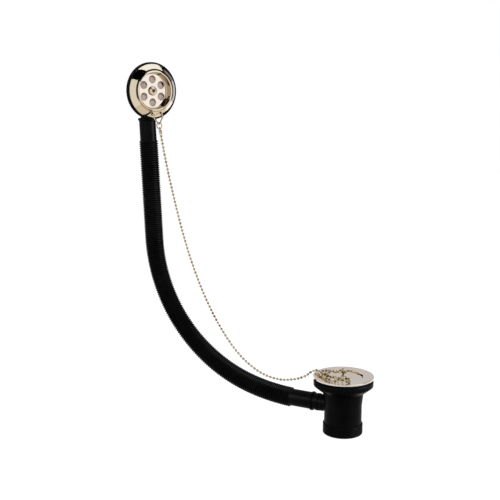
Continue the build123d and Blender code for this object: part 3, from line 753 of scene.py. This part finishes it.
def painted_glint_over(material):
    """Mix painted shade and painted highlight patches into a metal's base colour, more and more where the
    slack lies.
    """
    tree = material.node_tree
    colour = tree.nodes["Principled BSDF"].inputs["Base Color"]
    tone = next(node for node in tree.nodes if node.type == "GROUP").outputs["Tone"]
    apart = tree.nodes.new("ShaderNodeSeparateXYZ")
    tree.links.new(tree.nodes.new("ShaderNodeTexCoord").outputs["Object"], apart.inputs["Vector"])
    on_slack = remap(tree, apart.outputs["X"], SLACK_START, SLACK_FULL)
    patches = mixed(tree, remap(tree, tone, *PATCH_SPAN), PAINTED_SHADE_LINK, PAINTED_HIGHLIGHT_LINK)
    tree.links.new(mixed(tree, on_slack, colour.links[0].from_socket, patches), colour)


# The face's metals get painted shade, and the chain gets painted shade and painted highlights on its slack.
painted_shade_over(satin_nickel)
painted_shade_over(finishes["polished_nickel"])
painted_glint_over(finishes["chain_metal"])
print("nodes of the chain's metal:", len(finishes["chain_metal"].node_tree.nodes))

# %% [markdown]
# ## Plastics and rubber
# The mouldings are dyed right through. Black plastic in a white room soon looks grey, so the blacks have
# hardly any colour and a low gloss, with a fine grain as bump. The carrier behind the face's holes is a
# mauve grey.

# %% Plastics and rubber
GRAIN_DEPTH = 0.02 * MM
BLACKS = [(0.0007, 0.0007, 0.0007), (0.0015, 0.0014, 0.0015)]
RUBBERS = [(0.0010, 0.0010, 0.0010), (0.0020, 0.0020, 0.0020)]
MAUVE_GREYS = [(0.37, 0.295, 0.28), (0.42, 0.335, 0.32)]


def moulded(name, colours, low, high, gloss, grain, strength):
    """A moulded plastic or rubber: two close tones, a low specular level, and a grain as bump."""
    values = {"Grain scale": grain, "Low": low, "High": high}
    material, tree, placed, shader = new_material(name, moulding, values)
    shader.inputs["Specular IOR Level"].default_value = gloss
    tree.links.new(mixed(tree, placed.outputs["Tone"], *colours), shader.inputs["Base Color"])
    tree.links.new(placed.outputs["Sheen"], shader.inputs["Roughness"])
    bump = tree.nodes.new("ShaderNodeBump")
    bump.inputs["Strength"].default_value = strength
    bump.inputs["Distance"].default_value = GRAIN_DEPTH
    tree.links.new(placed.outputs["Grain"], bump.inputs["Height"])
    tree.links.new(bump.outputs["Normal"], shader.inputs["Normal"])
    return material


mouldings = {
    "black_moulding": dict(colours=BLACKS, low=0.28, high=0.40, gloss=0.018, grain=1500, strength=0.25),
    "hose_black": dict(colours=BLACKS, low=0.28, high=0.40, gloss=0.024, grain=1500, strength=0.25),
    "black_rubber": dict(colours=RUBBERS, low=0.55, high=0.7, gloss=0.01, grain=2200, strength=0.5),
    "grey_moulding": dict(colours=MAUVE_GREYS, low=0.5, high=0.65, gloss=0.3, grain=1500, strength=0.3),
}
finishes |= {name: moulded(name, **look) for name, look in mouldings.items()}
print("plastics and rubber:", *mouldings)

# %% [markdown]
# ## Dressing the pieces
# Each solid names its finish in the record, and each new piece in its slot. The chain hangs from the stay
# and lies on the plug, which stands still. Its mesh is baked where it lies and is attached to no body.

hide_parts("bead_chain")
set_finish(chain, "chain_metal")
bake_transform(chain)
slots = {row["node"]: row["material_slot"] for row in frame["record"]["subparts"]}
for name, node in nodes.items():
    node.data.materials.clear()
    node.data.materials.append(finishes[slots[name]])
nodes["overflow_screw"].data.materials[0] = satin_nickel
new_pieces = (chain, hose, waste_body)
for piece in new_pieces:
    piece.data.materials.append(finishes[piece["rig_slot"]])
print("dressed:", len(nodes), "solids and", len(new_pieces), "new pieces")

# %% [markdown]
# ## Floor and room
# The set stands on a white sweep that runs on into a white room. Lit paper is hard to get evenly white, so
# both glow as bright as paper to the camera and to shiny surfaces. A small share of the floor stays plain
# matt paper, which takes a faint shadow, and soft light from the room is held back so that the lamps shape
# the set.

# %% Floor
FLOOR_SIZE = 6.0
FLOOR_GAP = 0.2 * MM
PAPER_TONE = (0.9, 0.9, 0.9)
PAPER_GLOW = 1.07
SHADOW_SHARE = 0.12


def seen_directly(tree):
    """One where a ray comes from the camera, a shiny surface or glass, and nought for soft light."""
    path = tree.nodes.new("ShaderNodeLightPath")
    total = path.outputs["Is Camera Ray"]
    for ray in ("Is Glossy Ray", "Is Transmission Ray"):
        highest = tree.nodes.new("ShaderNodeMath")
        highest.operation = "MAXIMUM"
        tree.links.new(total, highest.inputs[0])
        tree.links.new(path.outputs[ray], highest.inputs[1])
        total = highest.outputs["Value"]
    return total


def stage_sheet(name, points):
    """A grid of points as a sheet of the stage, with a material whose node tree is still empty."""
    mesh = bpy.data.meshes.new(name)
    rows, columns = points.shape[:2]
    mesh.from_pydata(points.reshape(-1, 3), [], grid_cells(rows, columns, columns_close=False))
    sheet = bpy.data.objects.new(name, mesh)
    bpy.context.scene.collection.objects.link(sheet)
    material = bpy.data.materials.new(name)
    material.use_nodes = True
    material.node_tree.nodes.clear()
    mesh.materials.append(material)
    return sheet, material.node_tree


floor_height = cad_box[0][2] - FLOOR_GAP
floor_x, floor_y = np.meshgrid(*[np.array([-FLOOR_SIZE, FLOOR_SIZE]) / 2] * 2)
floor_points = np.stack([floor_x, floor_y, np.full_like(floor_x, floor_height)], axis=-1)
floor, paper = stage_sheet("floor", floor_points)
glow, matt, blend, out = (paper.nodes.new(kind) for kind in (
    "ShaderNodeEmission", "ShaderNodeBsdfDiffuse", "ShaderNodeMixShader", "ShaderNodeOutputMaterial"))
feed(paper, glow.inputs["Strength"], PAPER_GLOW)
feed(paper, matt.inputs["Color"], PAPER_TONE)
feed(paper, blend.inputs["Fac"], remap(paper, seen_directly(paper), 0.0, 1.0, 0.0, 1 - SHADOW_SHARE))
paper.links.new(matt.outputs["BSDF"], blend.inputs[1])
paper.links.new(glow.outputs["Emission"], blend.inputs[2])
paper.links.new(blend.outputs["Shader"], out.inputs["Surface"])
print(floor.name, "at", round(floor_height / MM, 1), "mm")

# %% Room
ROOM_LIGHT = 0.7
ROOM_TONE = (1.0, 1.0, 1.0)

room = bpy.data.worlds.new("room")
room.use_nodes = True
bpy.context.scene.world = room
room_tree = room.node_tree
background = room_tree.nodes["Background"]
room_strength = remap(room_tree, seen_directly(room_tree), 0.0, 1.0, ROOM_LIGHT, 1.0)
feed(room_tree, background.inputs["Color"], ROOM_TONE)
feed(room_tree, background.inputs["Strength"], room_strength)
bpy.context.scene.view_settings.view_transform = "Standard"
print("room's soft light:", ROOM_LIGHT)

# %% [markdown]
# ## Lamps
# A large soft box on the camera's side and a smaller one opposite give the set its light. Neither shows in
# polished metal, where a lamp would leave a hard white square. Black plastic shows its form only by its
# highlights, so two more boxes light the black pieces alone and leave a narrow sheen on them. Stronger
# lamps for everything would do that too, but they would wash out the metal.

# %% Lamps
MIDDLE = (-0.11, -0.06, 0.15)
BLACK_NODES = ("overflow_body", "overflow_seal", "flange_washer")

black_pieces = bpy.data.collections.new("black_pieces")
for piece in (hose, waste_body, *(nodes[name] for name in BLACK_NODES)):
    black_pieces.objects.link(piece)


def soft_box(name, place, aim, width, height, power):
    """A soft lamp at a place, turned by its yaw and pitch to face a point. Polished metal doesn't show it."""
    lamp = bpy.data.lights.new(name, "AREA")
    lamp.shape = "RECTANGLE"
    lamp.size, lamp.size_y = width, height
    lamp.energy = power
    box = bpy.data.objects.new(name, lamp)
    box.location = place
    ahead, aside, rise = np.subtract(aim, place)
    yaw, pitch = np.arctan2(aside, ahead), np.arctan2(-rise, np.hypot(ahead, aside))
    box.rotation_euler = (pi / 2 - pitch, 0, yaw - pi / 2)
    box.visible_glossy = False
    bpy.context.scene.collection.objects.link(box)
    return box


def sheen_box(name, place, aim, width, height, power):
    """A soft lamp that lights the black pieces only, and leaves its highlight on them."""
    box = soft_box(name, place, aim, width, height, power)
    box.visible_glossy = True
    box.light_linking.receiver_collection = black_pieces
    return box


soft_box("key_box", place=(1.15, -0.85, 0.95), aim=MIDDLE, width=0.8, height=0.8, power=26)
soft_box("side_box", place=(-0.35, 1.64, 1.02), aim=MIDDLE, width=0.6, height=0.6, power=16)
sheen_box("sheen_top", place=(0.11, -1.15, 0.65), aim=INLET_CENTRE, width=0.45, height=0.25, power=20)
sheen_box("sheen_side", place=(0.50, 0.55, 0.60), aim=MIDDLE, width=0.35, height=1.4, power=42)

# %% [markdown]
# ## Flags for the dome
# Polished metal shows only what stands round it, so a few plain boards give its reflections their darker
# parts, as flags do in a studio. A flag could be pushed about until it looks right, but it is quicker to
# work back from the picture. A line of sight that meets the dome where its normal leans by some tilt
# towards some turn leaves along 2 (n . v) n - v. So the board stands that way, and a patch of tilts and
# turns gives its outline. The boards are seen only in shiny surfaces, and neither light the set nor shade
# it.

# %% Flags
FLAG_STEPS = 12
FLAG_REACH = 1.3
FLAG_TILTS = (3, 66)
BLACK = (0.0, 0.0, 0.0)
SIGHT = unit(np.array(EYE) - FACE_CENTRE)


def mirrored(tilt, turn):
    """The way a line of sight leaves the dome: twice the part of it along the normal, less the line.

    Turns are counted round the face from its right-hand side.
    """
    normal = np.stack([np.cos(tilt), np.sin(tilt) * np.cos(turn), np.sin(tilt) * np.sin(turn)], axis=-1)
    return 2 * (normal @ SIGHT)[..., None] * normal - SIGHT


def board(name, points, tone):
    """A grid of points as an evenly lit sheet that only reflections see."""
    sheet, tree = stage_sheet(name, points)
    sheet.visible_camera = sheet.visible_diffuse = sheet.visible_shadow = False
    light, out = (tree.nodes.new(kind) for kind in ("ShaderNodeEmission", "ShaderNodeOutputMaterial"))
    feed(tree, light.inputs["Color"], tone)
    tree.links.new(light.outputs["Emission"], out.inputs["Surface"])
    return sheet


def flag(name, inner, outer, tone, reach=FLAG_REACH, tilts=FLAG_TILTS):
    """A board that the dome shows between two turns at its inner edge and two at its outer, in degrees."""
    share, step = np.meshgrid(*[np.linspace(0, 1, FLAG_STEPS)] * 2, indexing="ij")
    starts, ends = (inner[k] + (outer[k] - inner[k]) * step for k in (0, 1))
    tilt = tilts[0] + (tilts[1] - tilts[0]) * step
    points = FACE_CENTRE + reach * mirrored(np.radians(tilt), np.radians(starts + (ends - starts) * share))
    return board(name, points, tone)


flags = [
    flag("black_flag", inner=(114, 152), outer=(129, 155), tone=BLACK),
    flag("thin_flag", inner=(54, 64), outer=(75, 79), tone=(0.01, 0.01, 0.01)),
    flag("grey_flag", inner=(26, 54), outer=(26, 75), tone=(0.23, 0.23, 0.235)),
    flag("side_flag", inner=(-30, 26), outer=(-30, 26), tone=(0.58, 0.61, 0.67)),
    flag("left_flag", inner=(153, 216), outer=(156, 216), tone=(0.76, 0.71, 0.64), reach=0.45),
    flag("low_flag", inner=(216, 252), outer=(216, 240), tone=(0.64, 0.56, 0.44), reach=0.3),
    flag("hose_flag", inner=(252, 258), outer=(240, 246), tone=BLACK, reach=0.3),
    flag("foot_glow", inner=(258, 300), outer=(246, 300), tone=(0.78, 0.71, 0.60), reach=0.3),
    flag("rim_flag", inner=(-80, 75), outer=(-80, 75), tone=BLACK, reach=0.12, tilts=(34, 75)),
]
print("flags:", len(flags))

# %% [markdown]
# ## Cards for the flange
# The flange and plug are nearly flat, so flat cards are enough there: one behind the set for what lies
# level, one behind the camera for what faces it, and one on the floor. The flange's upright rim mirrors the
# floor in front of the waste, so it gets a part of a ring that lies there.

# %% Cards
FOOT_GAP = 1.0 * MM
APRON_GAP = 0.5 * MM


def card(name, centre, across, upward, tone):
    """A flat board from its centre and from half its width and height, each as a vector."""
    ends = np.array([-1.0, 1.0])
    wide, high = ends[:, None, None] * np.array(across), ends[None, :, None] * np.array(upward)
    return board(name, np.array(centre) + wide + high, tone)


def apron(name, inner, outer, spread, tone):
    """A board on the floor: a ring round the waste, cut to a spread of angles on the camera's side."""
    heading = np.arctan2(EYE[1], EYE[0]) + np.linspace(-spread, spread, FLAG_STEPS)[:, None]
    radius = np.array([inner, outer])
    points = np.stack([radius * np.cos(heading), radius * np.sin(heading), 0 * radius * heading], axis=-1)
    return board(name, points + (0, 0, floor_height + APRON_GAP), tone)


cards = [
    card("back_card", centre=(-0.88, 0.83, 0.39), across=(0.52, 0.56, 0.0), upward=(0.0, 0.0, 0.38),
         tone=(0.58, 0.575, 0.61)),
    card("eye_flag", centre=(0.95, -1.26, 0.50), across=(0.68, 0.70, 0.0), upward=(0.0, 0.0, 0.75),
         tone=(0.02, 0.02, 0.02)),
    card("foot_flag", centre=(0.09, -0.085, floor_height + FOOT_GAP), across=(0.041, 0.043, 0.0),
         upward=(0.053, -0.050, 0.0), tone=(0.05, 0.05, 0.05)),
    apron("rim_apron", inner=0.10, outer=0.55, spread=radians(110), tone=(0.74, 0.77, 0.88)),
]
print("cards:", len(cards))
